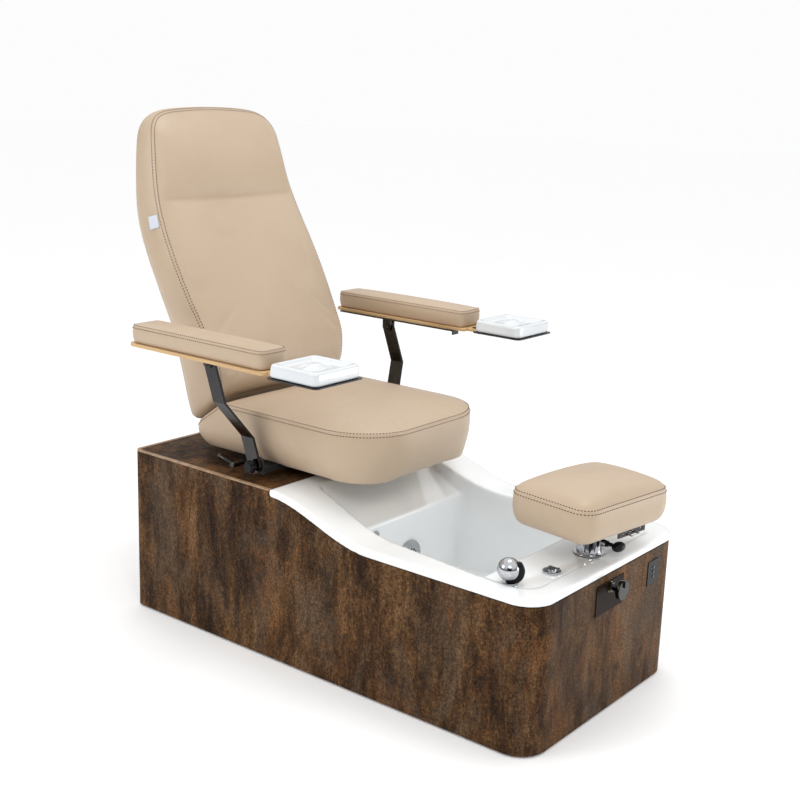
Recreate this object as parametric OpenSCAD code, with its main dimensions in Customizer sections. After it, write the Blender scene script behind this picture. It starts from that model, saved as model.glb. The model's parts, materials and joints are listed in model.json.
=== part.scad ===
// Pedicure spa chair: plinth with foot basin, swivel seat, reclining back, flip-up arms, footrest.
// Millimetres. +Z up, +X is the sitter's left, -Y is the foot end.
// The origin is on the floor at the middle of the plinth's footprint.

/* [Plinth] */
// overall length of the plinth
base_len = 1400; // [1400:10:1440]
// overall width of the plinth
base_w = 710; // [700:5:730]
// height of the rear deck
deck_h = 486; // [482:1:487]
// height of the cladding at the foot end
foot_h = 385; // [380:1:388]
// thickness of the cladding boards
board_t = 12; // [10:1:13]
// plan radius of the two foot-end corners
front_r = 75; // [60:1:80]
// plan radius of the two rear corners
rear_r = 25; // [20:1:30]
// thickness of the basin rim
rim_t = 22; // [20:1:24]
// height of the well floor
well_z = 150; // [146:1:160]

/* [Seat and back] */
// half width of the seat cushion
seat_hw = 277; // [270:1:284]
// crown height of the seat cushion
seat_top = 690; // [686:1:691]
// largest half width of the backrest
back_hw = 294; // [285:1:300]

/* [Arms] */
// distance of each arm's middle from the centre plane
arm_x = 426; // [424:1:430]
// width of an arm pad
arm_w = 102; // [90:1:104]
// underside height of the arm boards
arm_z = 834; // [832:1:836]
// side length of a manicure bowl
bowl_w = 168; // [150:1:170]

/* [Footrest] */
// turn of the footrest about its post
footrest_turn = -8; // [-12:1:12]
// width of the footrest pad
foot_pad_w = 356; // [326:2:360]
// length of the footrest pad
foot_pad_l = 265; // [250:5:270]

/* [Hidden] */
$fn = 48;

L = base_len;
W = base_w;
hw = W / 2;
yf = -L / 2;
yr = L / 2;
deck_y = 152;
joint_y = 510;
s_lo = -200;
s_hi = 160;
s_dz = deck_h - 18 - foot_h;
c_black = [0.08, 0.08, 0.08];
c_steel = [0.45, 0.45, 0.46];
c_chrome = [0.8, 0.8, 0.82];
c_lam = [0.27, 0.17, 0.12];
c_tan = [0.75, 0.63, 0.5];
c_white = [0.95, 0.95, 0.95];
c_ply = [0.8, 0.65, 0.45];

// S-shaped line of the cladding's top edge
function s_t(y) = min(1, max(0, (y - s_lo) / (s_hi - s_lo)));
function s_z(y) = foot_h + s_dz * (1 - cos(180 * s_t(y))) / 2;
function s_pts(a, b, n, dz) = [for (i = [0:n]) [a + (b - a) * i / n, s_z(a + (b - a) * i / n) + dz]];

// rounded rectangle from exact squares and circles, one radius per end
module plan(x0, y0, x1, y1, rf, rr) {
  translate([x0 + rf, y0]) square([x1 - x0 - 2 * rf, rf]);
  translate([x0, y0 + rf]) square([x1 - x0, y1 - y0 - rf - rr]);
  translate([x0 + rr, y1 - rr - 0.01]) square([x1 - x0 - 2 * rr, rr + 0.01]);
  for (x = [x0 + rf, x1 - rf]) translate([x, y0 + rf]) circle(rf);
  for (x = [x0 + rr, x1 - rr]) translate([x, y1 - rr]) circle(rr);
}

// a side profile drawn as [y, z] points, extruded across x from x0 to x1
module side(x0, x1) {
  translate([x0, 0, 0]) rotate([90, 0, 90]) linear_extrude(x1 - x0) children();
}

// a front profile drawn as [x, z] points, extruded along y from y0 to y1
module front(y0, y1) {
  translate([0, y1, 0]) rotate([90, 0, 0]) linear_extrude(y1 - y0) children();
}

module box(x0, y0, z0, x1, y1, z1) {
  translate([x0, y0, z0]) cube([x1 - x0, y1 - y0, z1 - z0]);
}

module rod_x(x0, x1, y, z, r) {
  translate([x0, y, z]) rotate([0, 90, 0]) cylinder(h = x1 - x0, r = r);
}

module rod_y(y0, y1, x, z, r) {
  translate([x, y1, z]) rotate([90, 0, 0]) cylinder(h = y1 - y0, r = r);
}

module rod_z(z0, z1, x, y, r) {
  translate([x, y, z0]) cylinder(h = z1 - z0, r = r);
}

// ---------------------------------------------------------------- plinth

post_x = 33;
post_y = -607;
sleeve_r = 33;
spray_x = -278;
spray_y = -573;
knob_x = -149;
knob_y = -610;
shelf_z = 402;
drain_y = -280;
jet_z = 255;
wall_y = -55;
mix_x = -15;
mix_z = 327;
spin_z = 350;
pan_x = 213;
pan_z = 323;
but_x = 214;

module base_frame() {
  color(c_black) union() {
    for (s = [-1, 1]) {
      box(s * 300 - 15, -650, 22, s * 300 + 15, 670, 52);
      box(s * 300 - 15, 170, 52, s * 300 + 15, 200, deck_h - 18);
      box(s * 300 - 15, 640, 52, s * 300 + 15, 670, deck_h - 18);
    }
    for (y = [-650, -15, 640]) box(-285, y, 22, 285, y + 30, 52);
    for (y = [170, 640]) box(-285, y, deck_h - 48, 285, y + 30, deck_h - 18);
    difference() {
      box(post_x - 50, -675, 52, post_x + 50, -570, 60);
      rod_z(40, 70, post_x, post_y, 15);
    }
    box(-20, -620, 22, post_x + 45, -560, 52);
    box(-15, -560, 22, 15, -15, 52);
  }
}

module feet() {
  color(c_black) for (p = [[-300, -600], [300, -600], [-300, 600], [300, 600], [0, 0]]) {
    rod_z(0, 10, p[0], p[1], 24);
    rod_z(10, 22, p[0], p[1], 8);
  }
}

module cladding_ring(x_in) {
  difference() {
    plan(-hw, yf, hw, yr, front_r, rear_r);
    plan(-hw + x_in, yf + x_in, hw - x_in, yr - x_in, front_r - x_in, rear_r - x_in);
  }
}

module cladding_front() {
  color(c_lam) difference() {
    intersection() {
      translate([0, 0, 6]) linear_extrude(deck_h) cladding_ring(board_t);
      side(-hw - 1, hw + 1) polygon(concat([[yf - 1, 6], [joint_y, 6], [joint_y, deck_h - 2],
        [deck_y, deck_h - 2], [deck_y, s_z(deck_y)]], s_pts(deck_y - 2, s_lo, 20, 0), [[yf - 1, foot_h]]));
    }
    box(mix_x - 50, yf - 5, mix_z - 22, mix_x + 50, yf + 20, mix_z + 38);
    box(pan_x - 22, yf - 5, pan_z - 26, pan_x + 22, yf + 20, pan_z + 26);
  }
}

module cladding_rear() {
  color(c_lam) difference() {
    intersection() {
      translate([0, 0, 6]) linear_extrude(deck_h - 8) cladding_ring(board_t);
      box(-hw - 1, joint_y + 1, 0, hw + 1, yr + 1, 600);
    }
    rod_y(yr - 20, yr + 10, -120, 84, 22);
    for (x = [90, 140]) rod_y(yr - 20, yr + 10, x, 90, 14);
    rod_y(yr - 20, yr + 10, 230, 90, 9);
  }
}

module edge_trim() {
  color(c_tan) intersection() {
    translate([0, 0, deck_h - 2]) linear_extrude(3) cladding_ring(board_t);
    box(-hw - 1, deck_y, 0, hw + 1, yr + 1, 600);
  }
}

module deck() {
  t = board_t + 0.5;
  color(c_lam) difference() {
    intersection() {
      translate([0, 0, deck_h - 18]) linear_extrude(18)
        plan(-hw + t, yf + 20, hw - t, yr - t, 30, rear_r - t);
      box(-hw, deck_y, 0, hw, yr, 600);
    }
    rod_z(400, 600, 0, 300, 20);
  }
}

// plan outline of the basin's opening, wider towards the foot end, grown by g
function arc(cx, cy, r, a0, a1) = [for (i = [0:8]) [cx + r * cos(a0 + (a1 - a0) * i / 8),
  cy + r * sin(a0 + (a1 - a0) * i / 8)]];
module opening(g) {
  polygon(concat(arc(-240, -592, 58 + g, 180, 270), arc(240, -592, 58 + g, 270, 360),
    [[302 + g, -541], [254 + g, -150]], arc(175, 55, 55 + g, 10, 90),
    arc(-175, 55, 55 + g, 90, 170), [[-254 - g, -150], [-302 - g, -541]]));
}

// the basin's inner surface in side view: shelf, front wall, floor, rear wall and ramp
function ramp(d) = [for (i = [0:8]) [wall_y + d + (110 - wall_y) * i / 8,
  384 - d + 112 * pow(i / 8, 1.25)]];
module inside(d) {
  polygon(concat([[-690, 700], [-690, shelf_z - d], [-500 - d, shelf_z - d],
    [-490 - d, well_z + 20 - d], [-470, well_z - d], [wall_y + d - 12, well_z - d],
    [wall_y + d, well_z + 12 - d]], ramp(d), [[110 + d, 700]]));
}

module basin_band() {
  intersection() {
    side(-hw - 3, hw + 3) polygon(concat(s_pts(deck_y - 1, s_lo, 20, 0.5), [[yf - 3, foot_h + 0.5],
      [yf - 3, foot_h + rim_t]], s_pts(s_lo, deck_y - 1, 20, rim_t)));
    translate([0, 0, 300]) linear_extrude(300)
      plan(-hw - 3, yf - 3, hw + 3, yr, front_r + 3, 5);
  }
}

module basin() {
  color(c_white) difference() {
    union() {
      basin_band();
      intersection() {
        linear_extrude(deck_h) opening(6);
        side(-400, 400) inside(6);
        union() {
          basin_band();
          side(-400, 400) polygon(concat([[yf, 0], [deck_y - 1, 0]],
            s_pts(deck_y - 1, s_lo, 20, 1), [[yf, foot_h + 1]]));
        }
      }
    }
    intersection() {
      linear_extrude(700) opening(0);
      side(-400, 400) inside(0);
    }
    rod_z(100, 200, 0, drain_y, 26);
    rod_z(300, 500, post_x, post_y, sleeve_r + 0.5);
    rod_z(300, 500, spray_x, spray_y, 14.5);
    rod_z(300, 500, knob_x, knob_y, 9);
    rod_y(-80, -20, 0, jet_z, 40.5);
    rod_y(-80, -20, -153, 356, 8.5);
  }
}

module overflow() {
  color(c_chrome) difference() {
    union() {
      rod_y(wall_y - 4, wall_y, -153, 356, 13);
      rod_y(wall_y, wall_y + 14, -153, 356, 8);
    }
    rod_y(wall_y - 5, wall_y + 15, -153, 356, 4);
  }
}

module drain_flange() {
  color(c_chrome) difference() {
    union() {
      rod_z(well_z, well_z + 3, 0, drain_y, 36);
      rod_z(well_z - 26, well_z, 0, drain_y, 25.5);
    }
    rod_z(well_z - 30, well_z + 5, 0, drain_y, 20);
  }
}

module waste_pipe() {
  color([0.85, 0.85, 0.83]) difference() {
    union() {
      rod_z(64, well_z - 8, 0, drain_y, 30);
      rod_y(drain_y, -80, 0, 84, 20);
      rod_x(-120, 20, -80, 84, 20);
      translate([-120, -80, 84]) sphere(20);
      rod_y(-80, 705, -120, 84, 19);
      rod_y(702, 732, -120, 84, 20);
    }
    rod_z(well_z - 26.5, well_z - 7, 0, drain_y, 25.6);
    rod_z(68, well_z - 20, 0, drain_y, 17);
    rod_y(drain_y, -80, 0, 84, 17);
    rod_x(-120, 0, -80, 84, 17);
    rod_y(-80, 733, -120, 84, 16.5);
    translate([-120, -80, 84]) sphere(17);
    translate([0, -80, 84]) sphere(17);
  }
}

module supply_pipes() {
  color([0.72, 0.45, 0.3]) for (x = [90, 140]) difference() {
    union() {
      rod_y(702, 728, x, 90, 10.5);
      rod_y(-560, 705, x, 90, 8);
      rod_z(90, mix_z - 40, x, -560, 8);
      rod_y(-640, -560, x, mix_z - 40, 8);
      translate([x, -560, 90]) sphere(8);
      translate([x, -560, mix_z - 40]) sphere(8);
    }
    rod_y(600, 730, x, 90, 6.5);
  }
}

module jet_motor() {
  color(c_black) difference() {
    union() {
      rod_y(wall_y + 6.5, wall_y + 12, 0, jet_z, 55);
      rod_y(wall_y + 12, wall_y + 90, 0, jet_z, 46);
      rod_y(wall_y, wall_y + 7, 0, jet_z, 40);
    }
    rod_y(wall_y - 1, wall_y + 24, 0, jet_z, 36);
  }
}

module jet_impeller() {
  color(c_white) union() {
    rod_y(wall_y + 3, wall_y + 20, 0, jet_z, 11);
    for (a = [0:60:300]) translate([0, 0, jet_z]) rotate([0, a, 0])
      box(-1.5, wall_y + 4, 8, 1.5, wall_y + 18, 32);
  }
}

module jet_cover() {
  color(c_chrome) difference() {
    union() {
      rod_y(wall_y - 5, wall_y, 0, jet_z, 47);
      rod_y(wall_y - 9, wall_y - 5, 0, jet_z, 30);
    }
    rod_y(wall_y - 4, wall_y + 1, 0, jet_z, 36);
    for (a = [0:30:330]) translate([0, 0, jet_z]) rotate([0, a, 0])
      rod_y(wall_y - 12, wall_y + 1, 0, 22, 3.5);
    rod_y(wall_y - 12, wall_y + 1, 0, jet_z, 6);
  }
}

module spray_holder() {
  color(c_chrome) difference() {
    union() {
      rod_z(shelf_z, shelf_z + 4, spray_x, spray_y, 18.5);
      rod_z(340, shelf_z, spray_x, spray_y, 14);
    }
    rod_z(330, 420, spray_x, spray_y, 10.05);
  }
}

module hand_spray() {
  color(c_chrome) union() {
    rod_z(335, 412, spray_x, spray_y, 10);
    rod_z(shelf_z + 4.5, 412, spray_x, spray_y, 15);
    translate([spray_x, spray_y, 438]) sphere(31);
  }
}

module drain_knob() {
  color(c_chrome) union() {
    rod_z(380, shelf_z + 1, knob_x, knob_y, 8.9);
    rod_z(shelf_z + 0.5, shelf_z + 6, knob_x, knob_y, 23);
    rod_z(shelf_z + 6, shelf_z + 11, knob_x, knob_y, 12);
    for (a = [45, 135]) translate([knob_x, knob_y, shelf_z + 6]) rotate([0, 0, a])
      cube([40, 9, 8], center = true);
  }
}

module drain_plug() {
  color(c_chrome) union() {
    rod_z(well_z + 3.5, well_z + 8, 0, drain_y, 27);
    rod_z(well_z - 40, well_z + 4, 0, drain_y, 5);
    rod_z(well_z - 6, well_z + 3.6, 0, drain_y, 19);
  }
}

module mixer_plate() {
  color([0.12, 0.1, 0.09]) difference() {
    box(mix_x - 67, yf - 2.5, mix_z - 40, mix_x + 67, yf, mix_z + 40);
    rod_y(yf - 5, yf + 2, mix_x, spin_z, 15);
  }
}

module mixer_body() {
  color([0.7, 0.6, 0.35]) difference() {
    union() {
      box(mix_x - 40, yf + 15, mix_z - 20, mix_x + 40, yf + 40, mix_z + 20);
      rod_y(yf - 2, yf + 16, mix_x, spin_z, 14);
      box(mix_x + 30, yf + 15, mix_z - 60, mix_x + 160, yf + 40, mix_z - 20);
      for (x = [90, 140]) box(x - 15, yf + 15, mix_z - 60, x + 15, yf + 59, mix_z - 25);
    }
    rod_y(yf - 5, yf + 14, mix_x, spin_z, 8.05);
    for (x = [90, 140]) rod_y(-641, -600, x, mix_z - 40, 8.05);
  }
}

module mixer_knob() {
  color(c_steel) union() {
    rod_y(yf - 30, yf + 12, mix_x, spin_z, 8);
    rod_y(yf - 40, yf - 29, mix_x, spin_z, 25);
    rod_y(yf - 8, yf - 3, mix_x, spin_z, 13);
    box(mix_x - 3, yf - 44, spin_z + 8, mix_x + 3, yf - 39, spin_z + 23);
  }
}

module control_panel() {
  color(c_black) difference() {
    union() {
      box(pan_x - 28, yf - 2.5, pan_z - 33, pan_x + 28, yf, pan_z + 33);
      box(pan_x - 21, yf, pan_z - 25, pan_x + 21, yf + 28, pan_z + 25);
    }
    for (i = [-1:1]) rod_y(yf - 5, yf + 12, but_x, pan_z + 13 * i, 3.55);
  }
}

module button(i) {
  color(c_steel) rod_y(yf - 4.5, yf + 7, but_x, pan_z + 13 * i, 3.5);
}

module control_box() {
  color([0.2, 0.2, 0.22]) union() {
    box(180, 400, 60, 280, 600, 130);
    rod_y(600, 715, 230, 90, 8);
  }
}

module turntable_base() {
  color(c_black) union() {
    rod_z(deck_h, 492, 0, 300, 140);
    rod_z(deck_h - 30, 498.5, 0, 300, 19.5);
  }
}

// ---------------------------------------------------------------- footrest

lever_x = 40;
lever_z = 436;
module post_sleeve() {
  color(c_chrome) difference() {
    union() {
      rod_z(61, 446, post_x, post_y, sleeve_r);
      rod_z(shelf_z, shelf_z + 4, post_x, post_y, 39);
      rod_y(post_y - 45, post_y - 25, lever_x, lever_z, 9);
    }
    rod_z(59, 447, post_x, post_y, 26.05);
    rod_y(post_y - 50, post_y - 20, lever_x, lever_z, 5.05);
  }
}

module post_lever() {
  color(c_black) union() {
    rod_y(post_y - 70, post_y - 26.7, lever_x, lever_z, 5);
    rod_y(post_y - 50, post_y - 46, lever_x, lever_z, 8);
    translate([lever_x, post_y - 80, lever_z]) scale([1.55, 1, 0.85]) sphere(15);
  }
}

module footrest_post() {
  color(c_chrome) difference() {
    rod_z(150, 450, post_x, post_y, 26);
    rod_z(400, 451, post_x, post_y, 12.05);
  }
}

// everything above the post is turned with the head
module on_head() {
  translate([post_x, post_y, 0]) rotate([0, 0, footrest_turn]) children();
}

tilt_z = 463;
module footrest_head() {
  color(c_steel) on_head() union() {
    rod_z(410, 456, 0, 0, 12);
    rod_z(450.5, 456, 0, 0, 30);
    difference() {
      for (s = [-1, 1]) box(s * 24 - 4, -12, 455, s * 24 + 4, 12, 474);
      rod_x(-40, 40, 0, tilt_z, 5.05);
    }
  }
}

module tilt_bracket() {
  color(c_steel) on_head() difference() {
    union() {
      box(-100, -80, 479, 100, 90, 482.5);
      for (s = [-1, 1]) box(s * 33 - 3, -14, 455, s * 33 + 3, 14, 480);
      rod_x(-40, 40, 0, tilt_z, 5);
      box(7, -84, 461, 117, -80, 482.5);
    }
    for (x = [27, 57]) {
      rod_y(-90, -70, x, 469, 2.5);
      rod_y(-90, -70, x + 14, 469, 2.5);
      box(x, -90, 466.5, x + 14, -79.9, 471.5);
    }
    rod_y(-90, -70, 102, 471, 4);
  }
}

module tilt_pull() {
  color(c_chrome) on_head() union() {
    rod_y(-106, -70, 34, 469, 1.9);
    rod_y(-106, -70, 64, 469, 1.9);
    rod_x(34, 64, -106, 469, 1.9);
    translate([34, -106, 469]) sphere(1.9);
    translate([64, -106, 469]) sphere(1.9);
  }
}

module footrest_board() {
  color(c_ply) on_head() translate([0, 0, 482.5]) linear_extrude(12)
    plan(-140, -92, 140, 108, 30, 30);
}

module footrest_pad() {
  x1 = foot_pad_w / 2;
  y0 = -125;
  y1 = y0 + foot_pad_l;
  color(c_tan) on_head() difference() {
    intersection() {
      translate([0, 0, 483]) linear_extrude(130) plan(-x1, y0, x1, y1, 48, 48);
      front(y0 - 1, y1 + 1) polygon([[-x1 + 8, 483], [-x1, 500], [-x1, 572], [-x1 + 14, 592],
        [-x1 + 45, 604], [0, 611], [x1 - 45, 604], [x1 - 14, 592], [x1, 572], [x1, 500],
        [x1 - 8, 483]]);
      side(-x1 - 1, x1 + 1) polygon([[y0 + 8, 483], [y0, 500], [y0, 572], [y0 + 14, 592],
        [y0 + 40, 603], [y0 + 100, 611], [y1 - 100, 611], [y1 - 40, 603], [y1 - 14, 592],
        [y1, 572], [y1, 500], [y1 - 8, 483]]);
    }
    translate([0, 0, 480]) linear_extrude(15) plan(-141, -93, 141, 109, 31, 31);
    box(-101, -96, 470, 118, 91, 483.5);
  }
}

// ---------------------------------------------------------------- seat

arm_py = 246;
arm_pz = 525;
flip_y = 350;
flip_z = 808;
hinge_y = 575;
hinge_z = 545;

module turntable_top() {
  color(c_black) difference() {
    rod_z(493, 499, 0, 300, 135);
    rod_z(480, 500, 0, 300, 19.55);
  }
}

module seat_frame() {
  color(c_black) difference() {
    union() {
      box(-165, 150, 499, 165, 450, 503);
      for (s = [-1, 1]) {
        box(s * 150 - 15, -20, 499, s * 150 + 15, 555, 519);
        box(s * 150 - 4, 540, 499, s * 150 + 4, 595, 545);
        rod_x(s * 150 - 4, s * 150 + 4, hinge_y, hinge_z, 20);
        box(s * 231 - 67, arm_py - 15, 501, s * 231 + 67, arm_py + 15, 517);
        box(s * 299 - 4, arm_py - 22, 501, s * 299 + 4, arm_py + 22, 530);
        rod_x(s * 299 - 4, s * 299 + 4, arm_py, arm_pz, 22);
        rod_x(s * 312 - 10, s * 312 + 10, arm_py, arm_pz, 8);
      }
      box(-245, 316, 501, -160, 344, 517);
      box(-150, 0, 501, 150, 30, 517);
      rod_x(-168, 168, hinge_y, hinge_z, 8);
      rod_x(-171, -166, hinge_y, hinge_z, 12);
      rod_x(166, 171, hinge_y, hinge_z, 12);
    }
    rod_x(-250, -149.9, 330, 509, 6.05);
  }
}

module seat_pan() {
  color(c_ply) translate([0, 0, 519.5]) linear_extrude(12)
    plan(-220, -70, 220, 470, 60, 30);
}

module seat_cushion() {
  h = seat_hw;
  color(c_tan) difference() {
    intersection() {
      translate([0, 0, 524]) linear_extrude(180) plan(-h, -134, h, 545, 170, 45);
      side(-h - 1, h + 1) polygon([[-84, 524], [-118, 556], [-131, 600], [-134, 640], [-122, 666],
        [-94, 681], [-44, 688], [50, seat_top], [388, seat_top], [538, 582], [542, 560], [530, 538],
        [500, 524]]);
      front(-160, 560) polygon([[-h + 18, 524], [-h + 4, 560], [-h, 600], [-h, 645], [-h + 12, 668],
        [-h + 45, 684], [-h + 120, seat_top], [h - 120, seat_top], [h - 45, 684], [h - 12, 668],
        [h, 645], [h, 600], [h - 4, 560], [h - 18, 524]]);
    }
    translate([0, 0, 519]) linear_extrude(13) plan(-221, -71, 221, 471, 61, 31);
  }
}

module recline_lever() {
  color(c_chrome) union() {
    rod_x(-296, -150, 330, 509, 6);
    rod_x(-318, -292, 330, 509, 8);
    translate([-310, 330, 509]) rotate([14, 0, 0]) rod_y(0, 58, 0, 0, 4);
    translate([-310, 386.3, 523]) sphere(6.5);
  }
}

// ---------------------------------------------------------------- back

plate_y = 540;
plate_z = 640;
lean = 20;

module back_profile() {
  polygon([[392, 695], [396, 735], [412, 800], [445, 870], [487, 943], [542, 1039], [590, 1125],
    [622, 1185], [645, 1250], [668, 1330], [690, 1400], [722, 1445], [760, 1460],
    [795, 1440], [812, 1395], [806, 1320],
    [797, 1243], [772, 1137], [744, 1076], [691, 974], [668, 919], [640, 850], [608, 770], [583, 660],
    [543, 587]]);
}

module back_outline() {
  b = back_hw;
  front(300, 900) polygon([[-b + 34, 570], [-b + 30, 700], [-b + 20, 800], [-b + 3, 940],
    [-b, 1020], [-b + 4, 1100], [-b + 13, 1180], [-b + 24, 1250], [-b + 36, 1330], [-b + 56, 1400],
    [-b + 89, 1440], [-b + 134, 1462], [b - 134, 1462], [b - 89, 1440], [b - 56, 1400],
    [b - 36, 1330], [b - 24, 1250], [b - 13, 1180], [b - 4, 1100], [b, 1020], [b - 3, 940],
    [b - 20, 800], [b - 30, 700], [b - 34, 570]]);
}

// boards and blocks laid along the back's lean, from a point on the plate's front face
module leaned(x, y0, z0, y1, z1) {
  translate([0, plate_y, plate_z]) rotate([-lean, 0, 0]) box(-x, y0, z0, x, y1, z1);
}

module back_frame() {
  color(c_black) union() {
    leaned(200, 0, -36, 12, 640);
    difference() {
      for (s = [-1, 1]) {
        side(s * 160.5 - 4, s * 160.5 + 4) polygon([[545, 629], [569, 695], [580, 685],
          [573, 640], [590, 555], [575, 545], [561, 555], [557, 575]]);
        rod_x(s * 160.5 - 4, s * 160.5 + 4, hinge_y, hinge_z, 16);
      }
      rod_x(-180, 180, hinge_y, hinge_z, 8.05);
    }
  }
}

module backrest_cushion() {
  color(c_tan) difference() {
    intersection() {
      side(-300, 300) back_profile();
      back_outline();
      leaned(400, -600, -300, 12, 1200);
    }
    leaned(201, -1, -120, 20, 641);
    for (s = [-1, 1]) box(s * 160.5 - 7, 520, 500, s * 160.5 + 7, 620, 700);
  }
}

module back_panel() {
  color(c_tan) difference() {
    intersection() {
      side(-300, 300) back_profile();
      back_outline();
      leaned(400, 12.5, -300, 300, 1200);
    }
    for (s = [-1, 1]) box(s * 160.5 - 7, 500, 500, s * 160.5 + 7, 620, 700);
  }
}

module side_tag() {
  color(c_white) translate([-back_hw + 7, 690, 1143]) rotate([-lean, 0, 0])
    box(-0.8, -10, -13, 0, 10, 13);
}

// ---------------------------------------------------------------- arms

// a set for one side: s = -1 is the sitter's right, s = 1 the sitter's left
module upright(s) {
  bx = abs(312 - 4);
  tx = 376;
  color(c_steel) difference() {
    intersection() {
      front(200, 420) polygon([[s * bx, 500], [s * (bx + 8), 500], [s * (bx + 8), 602], [s * (tx + 8), 702],
        [s * (tx + 8), 835], [s * tx, 835], [s * tx, 702], [s * bx, 602]]);
      side(-400, 400) union() {
        translate([arm_py, arm_pz]) circle(21);
        translate([flip_y, flip_z]) circle(20);
        polygon([[arm_py - 20.5, arm_pz + 6], [arm_py + 20.5, arm_pz - 6], [flip_y + 19.3, flip_z - 6],
          [flip_y - 19.3, flip_z + 6]]);
      }
    }
    rod_x(-400, 400, arm_py, arm_pz, 8.05);
    rod_x(-400, 400, flip_y, flip_z, 6.05);
  }
}

module arm_knob(s) {
  color(c_black) difference() {
    union() {
      rod_x(s * 329 - 12, s * 329 + 12, arm_py, arm_pz, 13);
      for (a = [0:60:300]) translate([0, arm_py, arm_pz]) rotate([a, 0, 0])
        rod_x(s * 331 - 8, s * 331 + 8, 12, 0, 6);
    }
    rod_x(s * 315 - 10, s * 315 + 10, arm_py, arm_pz, 8.05);
  }
}

module arm_rail(s) {
  cx = s * 380;
  color(c_steel) union() {
    box(cx - 14, 90, arm_z - 4, cx + 14, 540, arm_z);
    for (k = [-1, 1]) {
      box(cx + k * 7.5 - 2.5, flip_y - 16, flip_z, cx + k * 7.5 + 2.5, flip_y + 16, arm_z - 3);
      rod_x(cx + k * 7.5 - 2.5, cx + k * 7.5 + 2.5, flip_y, flip_z, 16);
    }
    rod_x(cx - 14, cx + 14, flip_y, flip_z, 6);
    rod_x(cx - 16, cx - 9.9, flip_y, flip_z, 9);
    rod_x(cx + 9.9, cx + 16, flip_y, flip_z, 9);
    box(cx - 14, 90, arm_z - 14, cx + 14, 94, arm_z - 3);
  }
}

module arm_board(s) {
  cx = s * arm_x;
  color(c_ply) difference() {
    translate([0, 0, arm_z]) linear_extrude(8) union() {
      plan(cx - arm_w / 2 - 2, 56, cx + arm_w / 2 + 2, 567, 10, 20);
      plan(cx - 34, -26, cx + 34, 80, 16, 5);
    }
    rod_z(arm_z - 5, arm_z + 15, cx, 30, 6.05);
  }
}

module arm_pad(s) {
  cx = s * arm_x;
  h = arm_w / 2;
  color(c_tan) intersection() {
    translate([0, 0, arm_z + 8]) linear_extrude(52) plan(cx - h, 62, cx + h, 562, 16, 16);
    front(50, 600) polygon([[cx - h + 3, arm_z + 8], [cx - h, arm_z + 14], [cx - h, arm_z + 48],
      [cx - h + 8, arm_z + 57], [cx, arm_z + 60], [cx + h - 8, arm_z + 57], [cx + h, arm_z + 48],
      [cx + h, arm_z + 14], [cx + h - 3, arm_z + 8]]);
  }
}

tray_y = -77;
tray_dx = 6;
bowl_l = 158;
plate_top = arm_z + 11.3;
module tray_plate(s) {
  cx = s * (arm_x + tray_dx);
  color(c_steel) difference() {
    union() {
      translate([0, 0, plate_top - 3]) linear_extrude(3)
        plan(cx - bowl_w / 2 - 5, tray_y - bowl_l / 2 - 5, cx + bowl_w / 2 + 5,
          tray_y + bowl_l / 2 + 5, 14, 14);
      box(s * arm_x - 22, -10, plate_top - 3, s * arm_x + 22, 46, plate_top);
      rod_z(arm_z - 4, plate_top, s * arm_x, 30, 6);
      rod_z(arm_z - 9, arm_z - 0.3, s * arm_x, 30, 11);
      rod_z(plate_top - 1, plate_top + 4, s * arm_x, 30, 9);
    }
    rod_z(arm_z, 900, cx, tray_y, 48);
  }
}

module bowl(s) {
  cx = s * (arm_x + tray_dx);
  b = bowl_w / 2;
  color(c_white) difference() {
    union() {
      translate([0, 0, plate_top]) linear_extrude(35)
        plan(cx - b, tray_y - bowl_l / 2, cx + b, tray_y + bowl_l / 2, 15, 15);
      rod_z(plate_top - 15, plate_top + 1, cx, tray_y, 47);
    }
    difference() {
      translate([0, 0, plate_top + 12]) linear_extrude(40)
        plan(cx - b + 9, tray_y - bowl_l / 2 + 9, cx + b - 9, tray_y + bowl_l / 2 - 9, 12, 12);
      translate([cx, tray_y, plate_top + 4]) scale([1, 0.75, 0.75]) sphere(36);
    }
  }
}

base_frame();
feet();
cladding_front();
cladding_rear();
edge_trim();
deck();
basin();
overflow();
drain_flange();
waste_pipe();
supply_pipes();
jet_motor();
jet_cover();
spray_holder();
mixer_plate();
mixer_body();
control_panel();
control_box();
post_sleeve();
turntable_base();
jet_impeller();
drain_plug();
drain_knob();
hand_spray();
mixer_knob();
button(1);  // panel_button_1
button(0);  // panel_button_2
button(-1);  // panel_button_3
post_lever();
footrest_post();
footrest_head();
tilt_bracket();
footrest_board();
footrest_pad();
tilt_pull();
turntable_top();
seat_frame();
seat_pan();
seat_cushion();
recline_lever();
back_frame();
backrest_cushion();
back_panel();
side_tag();
upright(-1);  // upright_r
upright(1);  // upright_l
arm_knob(-1);  // arm_knob_r
arm_knob(1);  // arm_knob_l
arm_rail(-1);  // arm_rail_r
arm_rail(1);  // arm_rail_l
arm_board(-1);  // arm_board_r
arm_board(1);  // arm_board_l
arm_pad(-1);  // arm_pad_r
arm_pad(1);  // arm_pad_l
tray_plate(-1);  // tray_plate_r
tray_plate(1);  // tray_plate_l
bowl(-1);  // bowl_r
bowl(1);  // bowl_l
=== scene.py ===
"""Looks for the pedicure spa chair: upholstery, laminate, acrylic, metal and plywood on the CAD frame.

Lengths are in metres. MM turns millimetres into metres. The frame has +X to the sitter's left, -Y towards
the foot end and +Z up, with its origin on the floor.
"""

import json
import math

import bpy
import numpy as np
from mathutils import Matrix, Vector
from mathutils.bvhtree import BVHTree


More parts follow.
